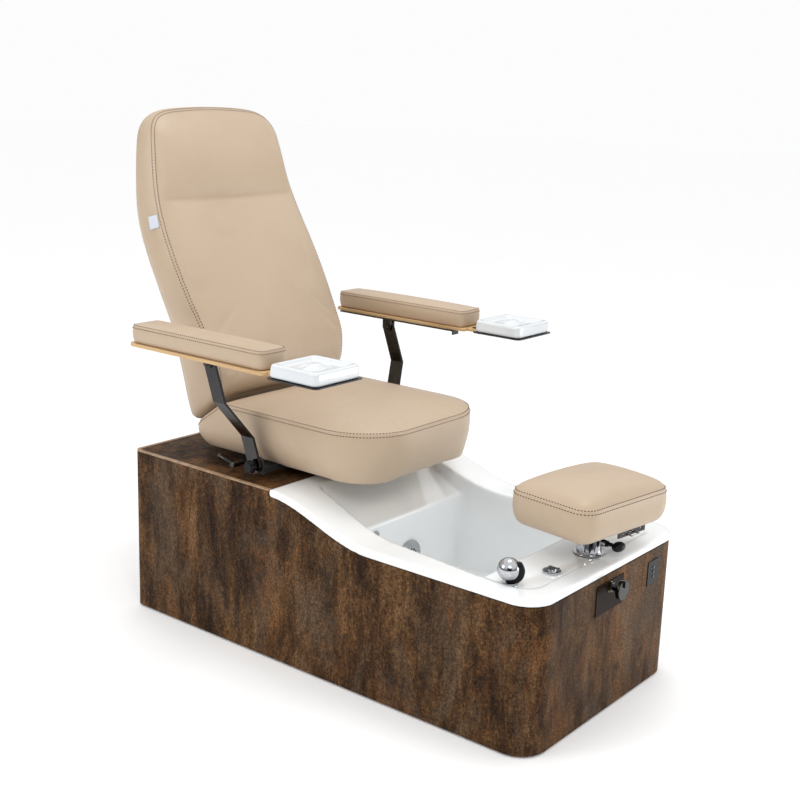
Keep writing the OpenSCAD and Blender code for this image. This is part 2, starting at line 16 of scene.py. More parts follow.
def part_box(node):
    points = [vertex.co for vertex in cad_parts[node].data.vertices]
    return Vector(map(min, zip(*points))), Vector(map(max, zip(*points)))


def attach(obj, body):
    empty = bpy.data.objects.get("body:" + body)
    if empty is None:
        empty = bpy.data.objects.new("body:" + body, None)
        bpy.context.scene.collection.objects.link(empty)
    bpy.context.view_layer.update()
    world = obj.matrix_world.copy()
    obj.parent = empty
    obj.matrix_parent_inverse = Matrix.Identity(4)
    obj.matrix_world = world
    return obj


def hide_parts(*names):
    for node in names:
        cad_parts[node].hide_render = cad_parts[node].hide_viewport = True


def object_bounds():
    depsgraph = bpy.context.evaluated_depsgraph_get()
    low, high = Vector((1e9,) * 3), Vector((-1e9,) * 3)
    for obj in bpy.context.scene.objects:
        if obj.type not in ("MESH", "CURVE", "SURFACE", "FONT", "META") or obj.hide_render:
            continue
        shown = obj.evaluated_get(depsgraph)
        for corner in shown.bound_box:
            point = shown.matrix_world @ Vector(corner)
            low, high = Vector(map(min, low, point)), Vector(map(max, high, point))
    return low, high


MM = 0.001
SEAM_RING = 2  # every cushion's edge seam is its third ring from the top
SEAT_REAR = 0.388  # y where the seat's top starts to slope down under the back
SEAT_SLOPE = 0.72  # how steeply it does so
CREASE_Z = 1.208  # height of the crease under the head roll
EDGE_ROUNDING = 0.7 * MM
BACK_CORNER = 0.03  # radius of the back's lower corners
SIM_FRAMES = 20

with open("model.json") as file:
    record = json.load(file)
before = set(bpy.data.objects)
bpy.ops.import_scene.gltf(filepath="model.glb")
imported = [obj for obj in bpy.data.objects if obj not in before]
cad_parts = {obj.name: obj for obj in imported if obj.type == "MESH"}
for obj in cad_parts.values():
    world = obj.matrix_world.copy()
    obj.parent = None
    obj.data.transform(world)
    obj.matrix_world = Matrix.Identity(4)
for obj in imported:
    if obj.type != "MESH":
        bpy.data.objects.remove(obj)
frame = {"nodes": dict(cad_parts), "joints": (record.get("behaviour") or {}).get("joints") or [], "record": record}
cad_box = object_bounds()
scene = bpy.context.scene


# ------------------------------------------------------------------ materials

class Shader:
    """One material and short names for adding nodes to it. Noise and waves use object coordinates."""

    def __init__(self, name):
        self.material = bpy.data.materials.new(name)
        self.material.use_nodes = True
        self.tree = self.material.node_tree
        self.tree.nodes.clear()
        self.bsdf = self.tree.nodes.new("ShaderNodeBsdfPrincipled")
        self.link(self.bsdf.outputs[0], self.tree.nodes.new("ShaderNodeOutputMaterial").inputs[0])
        self.coord = self.tree.nodes.new("ShaderNodeTexCoord").outputs["Object"]

    def link(self, a, b):
        self.tree.links.new(a, b)

    def put(self, socket, value):
        if isinstance(value, bpy.types.NodeSocket):
            self.link(value, socket)
        else:
            socket.default_value = value

    def set(self, **values):
        names = {"color": "Base Color", "rough": "Roughness", "metal": "Metallic", "coat": "Coat Weight",
                 "coat_rough": "Coat Roughness", "spec": "Specular IOR Level", "normal": "Normal",
                 "sheen": "Sheen Weight", "sheen_rough": "Sheen Roughness",
                 "glow": "Emission Color", "glow_power": "Emission Strength"}
        for key, value in values.items():
            self.put(self.bsdf.inputs[names[key]], value)

    def scaled(self, x, y, z):
        node = self.tree.nodes.new("ShaderNodeMapping")
        node.inputs["Scale"].default_value = (x, y, z)
        self.link(self.coord, node.inputs["Vector"])
        return node.outputs[0]

    def noise(self, scale, detail=4.0, rough=0.55, at=None, distort=0.0):
        node = self.tree.nodes.new("ShaderNodeTexNoise")
        node.inputs["Scale"].default_value = scale
        node.inputs["Detail"].default_value = detail
        node.inputs["Roughness"].default_value = rough
        node.inputs["Distortion"].default_value = distort
        self.link(at or self.coord, node.inputs["Vector"])
        return node.outputs["Fac"]

    def cells(self, scale):
        node = self.tree.nodes.new("ShaderNodeTexVoronoi")
        node.inputs["Scale"].default_value = scale
        self.link(self.coord, node.inputs["Vector"])
        return node.outputs["Distance"]

    def wave(self, scale, distort=0.0, axis="Z"):
        node = self.tree.nodes.new("ShaderNodeTexWave")
        node.bands_direction = axis
        node.inputs["Scale"].default_value = scale
        node.inputs["Distortion"].default_value = distort
        self.link(self.coord, node.inputs["Vector"])
        return node.outputs["Fac"]

    def ramp(self, fac, stops, smooth=True):
        node = self.tree.nodes.new("ShaderNodeValToRGB")
        node.color_ramp.interpolation = "EASE" if smooth else "LINEAR"
        elements = node.color_ramp.elements
        while len(elements) < len(stops):
            elements.new(0.5)
        for element, (place, color) in zip(elements, stops):
            element.position = place
            element.color = (*color, 1.0)
        self.link(fac, node.inputs["Fac"])
        return node.outputs["Color"]

    def span(self, fac, low, high, lo_out, hi_out):
        node = self.tree.nodes.new("ShaderNodeMapRange")
        for name, value in (("From Min", low), ("From Max", high), ("To Min", lo_out), ("To Max", hi_out)):
            node.inputs[name].default_value = value
        self.link(fac, node.inputs["Value"])
        return node.outputs["Result"]

    def mix(self, fac, a, b, kind="MIX"):
        node = self.tree.nodes.new("ShaderNodeMix")
        node.data_type = "RGBA"
        node.blend_type = kind
        self.put(node.inputs["Factor"], fac)
        self.put(node.inputs[6], (*a, 1.0) if isinstance(a, tuple) else a)
        self.put(node.inputs[7], (*b, 1.0) if isinstance(b, tuple) else b)
        return node.outputs[2]

    def math(self, kind, a, b):
        node = self.tree.nodes.new("ShaderNodeMath")
        node.operation = kind
        self.put(node.inputs[0], a)
        self.put(node.inputs[1], b)
        return node.outputs[0]

    def creases(self):
        return self.tree.nodes.new("ShaderNodeNewGeometry").outputs["Pointiness"]

    def bump(self, height, strength, distance, under=None):
        node = self.tree.nodes.new("ShaderNodeBump")
        node.inputs["Strength"].default_value = strength
        node.inputs["Distance"].default_value = distance
        self.link(height, node.inputs["Height"])
        if under:
            self.link(under, node.inputs["Normal"])
        return node.outputs["Normal"]


def leatherette():
    s = Shader("leatherette")
    cloud = s.noise(3.2, 5.0, 0.6)
    base = s.ramp(cloud, [(0.3, (0.455, 0.342, 0.236)), (0.55, (0.488, 0.374, 0.264)),
                          (0.8, (0.515, 0.402, 0.29))])
    mottle = s.noise(38.0, 4.0, 0.6)
    base = s.mix(s.span(mottle, 0.3, 0.75, 0.0, 0.10), base, (0.40, 0.29, 0.19))
    # painted shade: the leather colour is darkened in concave creases and seam grooves, where shade falls
    crease_shade = s.span(s.creases(), 0.40, 0.50, 0.7, 0.0)
    base = s.mix(crease_shade, base, (0.20, 0.125, 0.07))
    grain = s.cells(620.0)
    fine = s.noise(1500.0, 2.0, 0.5)
    wrinkle = s.noise(26.0, 3.0, 0.5, distort=0.6)
    n = s.bump(wrinkle, 0.16, 0.002)
    n = s.bump(grain, 0.30, 0.0004, n)
    n = s.bump(fine, 0.18, 0.0002, n)
    s.set(color=base, rough=s.span(mottle, 0.2, 0.8, 0.38, 0.48), spec=0.5, normal=n)
    s.set(sheen=0.06, sheen_rough=0.5)
    return s.material


def thread():
    s = Shader("thread")
    twist = s.wave(900.0, distort=2.0)
    base = s.ramp(twist, [(0.2, (0.045, 0.022, 0.012)), (0.8, (0.12, 0.062, 0.035))])
    s.set(color=base, rough=0.62, normal=s.bump(twist, 0.5, 0.0003))
    return s.material


def laminate():
    s = Shader("rust_laminate")
    patch = s.noise(5.5, 12.0, 0.74, s.scaled(1.0, 1.0, 0.42), 0.4)
    streak = s.noise(26.0, 10.0, 0.76, s.scaled(1.0, 1.0, 0.22), 0.4)
    grit = s.noise(120.0, 7.0, 0.82)
    blend = s.math("ADD", s.math("MULTIPLY", patch, 0.40), s.math("MULTIPLY", streak, 0.34))
    blend = s.math("ADD", blend, s.math("MULTIPLY", grit, 0.26))
    base = s.ramp(blend, [(0.41, (0.007, 0.003, 0.001)), (0.455, (0.021, 0.009, 0.003)),
                          (0.49, (0.044, 0.020, 0.007)), (0.52, (0.078, 0.037, 0.013)),
                          (0.56, (0.128, 0.064, 0.026)), (0.62, (0.18, 0.104, 0.050))], False)
    haze = s.noise(8.0, 8.0, 0.72, s.scaled(1.0, 1.0, 0.35), 0.6)
    base = s.mix(s.span(haze, 0.49, 0.61, 0.0, 0.55), base, (0.084, 0.058, 0.038))
    rust = s.noise(9.0, 9.0, 0.74, s.scaled(1.0, 1.0, 0.35), 0.7)
    base = s.mix(s.span(rust, 0.52, 0.64, 0.0, 0.5), base, (0.150, 0.060, 0.019))
    grain = s.noise(210.0, 6.0, 0.85, s.scaled(1.0, 1.0, 0.75))
    dark = s.span(grain, 0.38, 0.62, 0.08, 0.95)
    shade = s.ramp(dark, [(0.0, (0.0, 0.0, 0.0)), (1.0, (2.1, 2.1, 2.1))], False)
    base = s.mix(1.0, base, shade, "MULTIPLY")
    speck = s.noise(290.0, 3.0, 0.7)
    base = s.mix(s.span(speck, 0.62, 0.70, 0.0, 0.6), base, (0.23, 0.150, 0.092))
    n = s.bump(grit, 0.35, 0.0012)
    n = s.bump(grain, 0.35, 0.0006, n)
    s.set(color=base, rough=s.span(grit, 0.3, 0.7, 0.48, 0.65), spec=0.10, normal=n)
    return s.material


def edge_band():
    s = Shader("edge_band")
    tone = s.noise(60.0, 5.0, 0.6, s.scaled(1.0, 1.0, 0.3))
    base = s.ramp(tone, [(0.3, (0.24, 0.145, 0.085)), (0.7, (0.42, 0.275, 0.165))])
    s.set(color=base, rough=0.5, normal=s.bump(tone, 0.2, 0.0005))
    return s.material


def acrylic(name="white_acrylic", tint=(0.90, 0.925, 0.935)):
    s = Shader(name)
    cloud = s.noise(6.0, 3.0, 0.5)
    dim = tuple(c * 0.965 for c in tint)
    base = s.ramp(cloud, [(0.3, dim), (0.7, tint)])
    peel = s.noise(90.0, 2.0, 0.5)
    smear = s.noise(14.0, 5.0, 0.65)
    s.set(color=base, rough=s.span(smear, 0.3, 0.75, 0.06, 0.16), spec=0.6, coat=0.6, coat_rough=0.04)
    s.set(normal=s.bump(peel, 0.04, 0.0008))
    return s.material


def metal(name, tint, rough, brush=None, streak=0.0):
    s = Shader(name)
    smear = s.noise(32.0, 6.0, 0.65)
    dim = tuple(c * 0.86 for c in tint)
    base = s.ramp(smear, [(0.3, dim), (0.7, tint)])
    s.set(color=base, metal=1.0, rough=s.span(smear, 0.25, 0.8, rough * 0.7, rough * 1.5))
    if brush:
        lines = s.noise(260.0, 4.0, 0.6, s.scaled(*brush))
        s.set(normal=s.bump(lines, streak, 0.0004))
    return s.material


def painted(name, tint, rough=0.45, peel=0.15, spec=0.5):
    s = Shader(name)
    tone = s.noise(24.0, 5.0, 0.6)
    dim = tuple(c * 0.7 for c in tint)
    base = s.ramp(tone, [(0.3, dim), (0.75, tint)])
    grit = s.noise(520.0, 3.0, 0.6)
    s.set(color=base, rough=s.span(tone, 0.2, 0.8, rough * 0.8, rough * 1.25), spec=spec)
    s.set(normal=s.bump(grit, peel, 0.0004))
    return s.material


def plywood():
    s = Shader("plywood")
    grain = s.noise(34.0, 8.0, 0.6, s.scaled(1.6, 0.12, 1.0), 0.8)
    base = s.ramp(grain, [(0.3, (0.50, 0.315, 0.145)), (0.55, (0.66, 0.45, 0.235)),
                          (0.8, (0.76, 0.56, 0.33))])
    layer = s.wave(90.0, distort=0.6)
    base = s.mix(s.span(layer, 0.55, 0.75, 0.0, 0.55), base, (0.33, 0.17, 0.065))
    s.set(color=base, rough=s.span(grain, 0.3, 0.7, 0.42, 0.6), spec=0.4)
    s.set(normal=s.bump(grain, 0.25, 0.0006))
    return s.material


def woven_tag():
    s = Shader("woven_tag")
    weave = s.wave(420.0, distort=0.3)
    cross = s.wave(420.0, distort=0.3, axis="Y")
    cloth = s.math("MULTIPLY", weave, cross)
    base = s.ramp(cloth, [(0.1, (0.55, 0.60, 0.68)), (0.8, (0.82, 0.85, 0.89))])
    s.set(color=base, rough=0.75, normal=s.bump(cloth, 0.6, 0.0003))
    return s.material


MATERIAL = {
    "leather": leatherette(),
    "thread": thread(),
    "laminate": laminate(),
    "trim": edge_band(),
    "acrylic": acrylic(),
    "chrome": metal("chrome", (0.53, 0.54, 0.56), 0.07),
    # painted reflection: the polished steel's base colour is set very dark to stand in for the dark surroundings
    # it reflects
    "steel": metal("steel_painted_dark_reflection", (0.062, 0.060, 0.060), 0.12, (0.4, 0.4, 8.0), 0.12),
    "dark_plate": painted("bronze_plate", (0.020, 0.012, 0.008), 0.30, 0.05, 0.04),
    "black_steel": painted("black_paint", (0.022, 0.022, 0.024), 0.42),
    "black_plastic": painted("black_plastic", (0.010, 0.010, 0.011), 0.24, 0.05, 0.14),
    "rubber": painted("rubber", (0.02, 0.02, 0.02), 0.8, 0.3),
    "grey_plastic": painted("grey_plastic", (0.12, 0.12, 0.13), 0.5),
    "pipe": painted("pipe_plastic", (0.55, 0.55, 0.53), 0.45),
    "brass": metal("brass", (0.62, 0.42, 0.18), 0.25),
    "ply": plywood(),
    "pearl": acrylic("bowl_acrylic", (0.70, 0.73, 0.75)),
    "tag": woven_tag(),
}


# ------------------------------------------------------------------ mesh helpers

def make(name, verts, faces, material, body, slot=None):
    """A smooth-shaded mesh object in the frame's coordinates that rides on a body."""
    mesh = bpy.data.meshes.new(name)
    mesh.from_pydata([tuple(map(float, v)) for v in verts], [], [tuple(map(int, f)) for f in faces])
    mesh.update()
    mesh.materials.append(MATERIAL[material])
    mesh.polygons.foreach_set("use_smooth", [True] * len(mesh.polygons))
    ob = bpy.data.objects.new(name, mesh)
    scene.collection.objects.link(ob)
    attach(ob, body)
    return ob


def points_of(mesh):
    co = np.empty(len(mesh.vertices) * 3)
    mesh.vertices.foreach_get("co", co)
    return co.reshape(-1, 3)


def put_points(mesh, co):
    mesh.vertices.foreach_set("co", np.asarray(co, float).ravel())
    mesh.update()


def normals_of(mesh):
    out = np.empty(len(mesh.vertices) * 3)
    mesh.vertices.foreach_get("normal", out)
    return out.reshape(-1, 3)


def evenly(points, count):
    """count + 1 points at equal steps along an open polyline."""
    points = np.asarray(points, float)
    step = np.linalg.norm(np.diff(points, axis=0), axis=1)
    along = np.concatenate([[0.0], np.cumsum(step)])
    want = np.linspace(0.0, along[-1], count + 1)
    return np.stack([np.interp(want, along, points[:, k]) for k in range(points.shape[1])], 1)


def arc(cx, cy, r, a0, a1, n=10):
    a = np.radians(np.linspace(a0, a1, n + 1))
    return np.stack([cx + r * np.cos(a), cy + r * np.sin(a)], 1)


def rounded(x0, y0, x1, y1, r_front, r_rear, nx, ny):
    """A rounded rectangle as a ring of 2 * (nx + ny) points, from the middle of its first corner."""
    corners = [(x0 + r_front, y0 + r_front, r_front, 180), (x1 - r_front, y0 + r_front, r_front, 270),
               (x1 - r_rear, y1 - r_rear, r_rear, 0), (x0 + r_rear, y1 - r_rear, r_rear, 90)]
    ring = []
    for k in range(4):
        cx, cy, r, a = corners[k]
        dx, dy, q, b = corners[(k + 1) % 4]
        side = np.vstack([arc(cx, cy, r, a + 45, a + 90), arc(dx, dy, q, b, b + 45)])
        ring.append(evenly(side, (nx, ny)[k % 2])[:-1])
    return np.vstack(ring)


def inset(ring, d):
    """The ring moved inwards by d, which may be one number per point."""
    forward = np.roll(ring, -1, 0) - np.roll(ring, 1, 0)
    out = np.stack([forward[:, 1], -forward[:, 0]], 1)
    out /= np.linalg.norm(out, axis=1)[:, None]
    return ring - out * np.reshape(d, (-1, 1)) * np.ones((len(ring), 1))


def outward(ring):
    return ring - inset(ring, 1.0)


def coons(ring, nx, ny):
    """A grid of points spanning a closed ring of 2 * (nx + ny) points."""
    low = ring[:nx + 1]
    right = ring[nx:nx + ny + 1]
    high = ring[nx + ny:2 * nx + ny + 1][::-1]
    left = np.vstack([ring[2 * nx + ny:], ring[:1]])[::-1]
    u = np.linspace(0, 1, nx + 1)[None, :, None]
    v = np.linspace(0, 1, ny + 1)[:, None, None]
    flat = (1 - v) * low[None] + v * high[None] + (1 - u) * left[:, None] + u * right[:, None]
    corner = (1 - u) * (1 - v) * low[0] + u * (1 - v) * low[-1] + (1 - u) * v * high[0] + u * v * high[-1]
    return flat - corner


def pillow(nx, ny, power):
    """1 in the middle, 0 round the edge, steeper at the edge for a smaller power."""
    u = np.linspace(-1, 1, nx + 1)[None, :]
    v = np.linspace(-1, 1, ny + 1)[:, None]
    return ((1 - u * u) ** power) * ((1 - v * v) ** power)


def shell(rings, nx, ny, top, bottom):
    """Vertices and faces of a closed form: rings from the top one down, closed by two grids of points."""
    count = 2 * (nx + ny)
    verts = [np.vstack(rings)]
    faces = []
    for k in range(len(rings) - 1):
        a, b = k * count, (k + 1) * count
        for i in range(count):
            j = (i + 1) % count
            faces.append((a + i, b + i, b + j, a + j))
    start = len(rings) * count
    for grid, base, flip in ((top, 0, False), (bottom, (len(rings) - 1) * count, True)):
        index = np.zeros((ny + 1, nx + 1), int)
        for i in range(nx + 1):
            index[0, i] = base + i
            index[ny, nx - i] = base + nx + ny + i
        for j in range(ny + 1):
            index[j, nx] = base + nx + j
            index[ny - j, 0] = base + (2 * nx + ny + j) % count
        inner = grid[1:ny, 1:nx].reshape(-1, 3)
        index[1:ny, 1:nx] = start + np.arange(len(inner)).reshape(ny - 1, nx - 1)
        verts.append(inner)
        start += len(inner)
        for j in range(ny):
            for i in range(nx):
                quad = (index[j, i], index[j, i + 1], index[j + 1, i + 1], index[j + 1, i])
                faces.append(quad[::-1] if flip else quad)
    return np.vstack(verts), faces


def puff(ob, pinned, pressure, cap):
    """Cloth under air pressure with pinned seams. Each point's move is then held under a cap."""
    rest = points_of(ob.data)
    group = ob.vertex_groups.new(name="pinned")
    group.add([int(i) for i in pinned], 1.0, "REPLACE")
    cloth = ob.modifiers.new("cloth", "CLOTH")
    s = cloth.settings
    s.quality = 4
    s.mass = 0.3
    s.tension_stiffness = 22
    s.compression_stiffness = 22
    s.shear_stiffness = 9
    s.bending_stiffness = 0.8
    s.use_pressure = True
    s.uniform_pressure_force = pressure
    s.vertex_group_mass = "pinned"
    s.effector_weights.gravity = 0
    cloth.collision_settings.use_collision = False
    cloth.point_cache.frame_start = 1
    cloth.point_cache.frame_end = SIM_FRAMES
    for f in range(1, SIM_FRAMES + 1):
        scene.frame_set(f)
    shown = ob.evaluated_get(bpy.context.evaluated_depsgraph_get())
    move = points_of(shown.data) - rest
    size = np.linalg.norm(move, axis=1)[:, None] + 1e-9
    move *= cap * np.tanh(size / cap) / size
    ob.modifiers.remove(cloth)
    ob.vertex_groups.remove(group)
    scene.frame_set(1)
    put_points(ob.data, rest + move)


def relax(ob, held, times):
    """Plain smoothing of every vertex that isn't held."""
    share = 0.5
    mesh = ob.data
    edges = np.empty(len(mesh.edges) * 2, int)
    mesh.edges.foreach_get("vertices", edges)
    edges = edges.reshape(-1, 2)
    co = points_of(mesh)
    free = np.ones(len(co), bool)
    free[list(held)] = False
    count = np.bincount(edges.ravel(), minlength=len(co))[:, None]
    for _ in range(times):
        total = np.zeros_like(co)
        np.add.at(total, edges[:, 0], co[edges[:, 1]])
        np.add.at(total, edges[:, 1], co[edges[:, 0]])
        mean = total / count
        co[free] += share * (mean - co)[free]
    put_points(mesh, co)


def groove(ob, index, depth):
    """Presses a line of vertices into the surface."""
    co, n = points_of(ob.data), normals_of(ob.data)
    co[index] -= n[index] * depth
    put_points(ob.data, co)


def subdivided(ob):
    m = ob.modifiers.new("smooth", "SUBSURF")
    m.levels = 1
    m.render_levels = 1


def surface_of(ob):
    bpy.context.view_layer.update()
    return BVHTree.FromObject(ob, bpy.context.evaluated_depsgraph_get())


def stitch_rows(name, ob, paths, offsets, body, pitch=8.8 * MM, length=5.4 * MM, r=1.2 * MM):
    """Rows of short thread stitches lying on ob, beside each path of points."""
    tree = surface_of(ob)
    verts, faces = [], []
    shape = [(-0.5, 0.35, -0.5), (-0.3, 0.95, 0.35), (0.0, 1.0, 0.6), (0.3, 0.95, 0.35),
             (0.5, 0.35, -0.5)]
    sides = 6
    for path, closed in paths:
        path = np.asarray(path)
        if closed:
            path = np.vstack([path, path[:1]])
        total = np.linalg.norm(np.diff(path, axis=0), axis=1).sum()
        line = evenly(path, max(4, int(total / pitch)))
        for k in range(len(line) - 1):
            tangent = Vector(line[k + 1] - line[k]).normalized()
            middle = Vector((line[k + 1] + line[k]) / 2)
            spot, n, _, _ = tree.find_nearest(middle)
            if spot is None:
                continue
            for off in offsets:
                side = n.cross(tangent).normalized()
                p, m, _, _ = tree.find_nearest(spot + side * off)
                t = (tangent - m * tangent.dot(m)).normalized()
                b = m.cross(t)
                base = len(verts)
                for u, w, lift in shape:
                    c = p + t * (u * length) + m * (lift * r)
                    for q in range(sides):
                        a = 2 * math.pi * q / sides
                        verts.append(c + (b * math.cos(a) + m * math.sin(a)) * (r * w))
                for s in range(len(shape) - 1):
                    low = base + s * sides
                    for q in range(sides):
                        w = (q + 1) % sides
                        faces.append((low + q, low + w, low + sides + w, low + sides + q))
                last = base + (len(shape) - 1) * sides
                faces.append(tuple(base + q for q in range(sides - 1, -1, -1)))
                faces.append(tuple(last + q for q in range(sides)))
    make(name, verts, faces, "thread", body)


def lathe(profile, centre, segments=48):
    """Vertices and faces of a closed form turned about +Z, from (radius, height) points."""
    verts, faces = [], []
    for r, z in profile:
        for k in range(segments):
            a = 2 * math.pi * k / segments
            verts.append((centre[0] + r * math.cos(a), centre[1] + r * math.sin(a), centre[2] + z))
    for i in range(len(profile) - 1):
        for k in range(segments):
            j = (k + 1) % segments
            a, b = i * segments, (i + 1) * segments
            faces.append((a + k, a + j, b + j, b + k))
    faces.append(tuple(range(segments - 1, -1, -1)))
    faces.append(tuple(range((len(profile) - 1) * segments, len(profile) * segments)))
    return verts, faces


def tube(path, radii, sides):
    """Vertices and faces of a closed round tube along a path."""
    path = [Vector(p) for p in path]
    verts, faces = [], []
    side = Vector((0, 0, 1)).cross(path[1] - path[0])
    side = side.normalized() if side.length > 1e-6 else Vector((1, 0, 0))
    for i, p in enumerate(path):
        t = (path[min(i + 1, len(path) - 1)] - path[max(i - 1, 0)]).normalized()
        side = (side - t * side.dot(t)).normalized()
        up = t.cross(side)
        for k in range(sides):
            a = 2 * math.pi * k / sides
            verts.append(p + (side * math.cos(a) + up * math.sin(a)) * radii[i])
    for i in range(len(path) - 1):
        for k in range(sides):
            j = (k + 1) % sides
            faces.append((i * sides + k, i * sides + j, (i + 1) * sides + j, (i + 1) * sides + k))
    faces.append(tuple(range(sides - 1, -1, -1)))
    faces.append(tuple(range((len(path) - 1) * sides, len(path) * sides)))
    return verts, faces


def joined(*parts):
    """Several forms as one list of vertices and one of faces."""
    verts, faces = [], []
    for v, f in parts:
        base = len(verts)
        verts += [tuple(p) for p in v]
        faces += [tuple(base + i for i in face) for face in f]
    return verts, faces


def smoothstep(x, a, b):
    t = np.clip((np.asarray(x, float) - a) / (b - a), 0, 1)
    return t * t * (3 - 2 * t)


# ------------------------------------------------------------------ upholstery

def stuffed(ob, nx, ny, ring_count, first_fixed, rounds, pressure, cap, depth, crease=()):
    """Smooths, puffs and grooves a cushion and returns its seam. Rings 1 to 3, the rings from first_fixed
    down and the underside don't move."""
    count = 2 * (nx + ny)
    held = list(range(count, 4 * count)) + list(range(first_fixed * count, ring_count * count))
    held += list(range(ring_count * count + (nx - 1) * (ny - 1), len(ob.data.vertices)))
    held += crease
    seam = list(range(SEAM_RING * count, (SEAM_RING + 1) * count))
    relax(ob, held, rounds)
    puff(ob, held, pressure, cap)
    groove(ob, seam, depth)
    subdivided(ob)
    return points_of(ob.data)[seam]


def seat():
    """Thick seat: D-shaped front, edge seam all round, sides that taper under, rear that slopes down."""
    lo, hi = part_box("seat_cushion")
    nx, ny = 58, 72
    h = hi.x - 3 * MM
    plan = rounded(-h, lo.y + 3 * MM, h, hi.y - 2 * MM, 168 * MM, 45 * MM, nx, ny)
    seam_z = lo.z + 133 * MM
    facing = outward(plan)
    front = smoothstep(-facing[:, 1], 0.2, 0.95)
    corner = np.clip(-2 * np.abs(facing[:, 0]) * facing[:, 1], 0, 1)
    ledge = np.minimum(seam_z, hi.z - SEAT_SLOPE * (plan[:, 1] - SEAT_REAR) - 9 * MM)
    floor = lo.z + 20 * MM * smoothstep(plan[:, 1], 0.49, 0.545)
    rear_panel = 4.5 * MM * smoothstep(plan[:, 1], 0.196, 0.204)
    rear_panel *= 1 - smoothstep(plan[:, 1], 0.3, 0.45)
    swell = 3.0 * MM * np.exp(-((plan[:, 1] - 0.186) / 0.02) ** 2)
    # per ring: inset at the sides and at the front in mm, and how far down from the seam to the floor
    levels = [(9.0, 8.0, 0.0), (3.4, 3.2, 0.0), (0.4, 0.4, 0.0), (1.6, 1.2, 0.025), (0.6, 0.0, 0.06),
              (-1.0, -1.5, 0.14), (-2.6, -2.6, 0.24), (-3.4, -2.6, 0.36), (-3.0, -1.0, 0.48),
              (-1.0, 2.0, 0.60), (2.0, 6.0, 0.72), (6.0, 12.5, 0.83), (11.0, 21.0, 0.92),
              (18.0, 30.0, 0.975), (27.0, 38.0, 1.0), (38.0, 47.0, 1.0)]
    lift = [6.0, 3.0, 0.0]
    rings = []
    for k, (side_in, front_in, f) in enumerate(levels):
        d = (side_in * (1 - front) + front_in * front) * MM
        if k > 3:
            d = d + (rear_panel - swell) * (1 - abs(f - 0.5))
        if k > 11:
            d = d * (1 - 0.55 * corner)
        ring = inset(plan, d)
        z = ledge + (floor - ledge) * f
        if k < 3:
            z = z + lift[k] * MM
        rings.append(np.column_stack([ring, z]))
    top = coons(rings[0], nx, ny)
    crown = pillow(nx, ny, 0.42) * (hi.z - seam_z - 7 * MM)
    slope = hi.z - SEAT_SLOPE * (top[:, :, 1] - SEAT_REAR)
    top[:, :, 2] += crown
    over = top[:, :, 2] - slope
    blend = 6 * MM
    cut = np.log1p(np.exp(np.clip(over / blend, -30, 30))) * blend
    top[:, :, 2] -= np.where(over > -20 * MM, cut, 0)
    for ring in rings[-3:]:
        ring[:, 2] -= 5 * MM
    bottom = coons(rings[-1], nx, ny)
    bottom[:, :, 2] += 6 * MM
    verts, faces = shell(rings, nx, ny, top, bottom)
    ob = make("seat_upholstery", verts, faces, "leather", "seat")
    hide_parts("seat_cushion")
    seam = stuffed(ob, nx, ny, len(rings), 14, 12, 3.2, 7 * MM, 2.6 * MM)
    stitch_rows("seat_stitching", ob, [(seam, True)], (5.2 * MM, -5.2 * MM), "seat")


# The back's half width and its three side lines, as (z, value) pairs: y of the edge seam, of the face's
# middle and of the rear edge.
BACK_SIDE = [(0.660, 0.255), (0.70, 0.262), (0.80, 0.273), (0.94, 0.288), (1.02, 0.291), (1.10, 0.288),
             (1.18, 0.280), (1.25, 0.270), (1.33, 0.259), (1.385, 0.250), (1.415, 0.238), (1.438, 0.214),
             (1.450, 0.172), (1.454, 0.125)]
SEAM_LINE = [(0.66, 0.462), (0.70, 0.440), (0.74, 0.438), (0.80, 0.450), (0.87, 0.490), (0.943, 0.532),
             (1.04, 0.588), (1.125, 0.636), (1.19, 0.668), (1.25, 0.690), (1.33, 0.708), (1.39, 0.722),
             (1.43, 0.738), (1.455, 0.752)]
FACE_LINE = [(0.66, 0.408), (0.70, 0.397), (0.74, 0.399), (0.80, 0.414), (0.87, 0.446), (0.943, 0.488),
             (1.04, 0.543), (1.125, 0.592), (1.165, 0.617), (1.195, 0.638), (1.208, 0.645), (1.225, 0.641),
             (1.26, 0.640), (1.30, 0.647), (1.34, 0.660), (1.38, 0.677), (1.42, 0.702), (1.455, 0.735)]
REAR_LINE = [(0.66, 0.566), (0.70, 0.583), (0.77, 0.602), (0.85, 0.632), (0.919, 0.660), (0.974, 0.684),
             (1.076, 0.736), (1.137, 0.764), (1.19, 0.780), (1.243, 0.789), (1.32, 0.798), (1.39, 0.802),
             (1.43, 0.798), (1.455, 0.785)]


def along(line, z):
    return np.interp(z, [p[0] for p in line], [p[1] for p in line])


def softly(line, z, reach=0.022):
    """The line's value averaged over a short reach, so its corners are rounded."""
    return sum(along(line, z + k * reach) * w for k, w in ((-1, 0.25), (0, 0.5), (1, 0.25)))


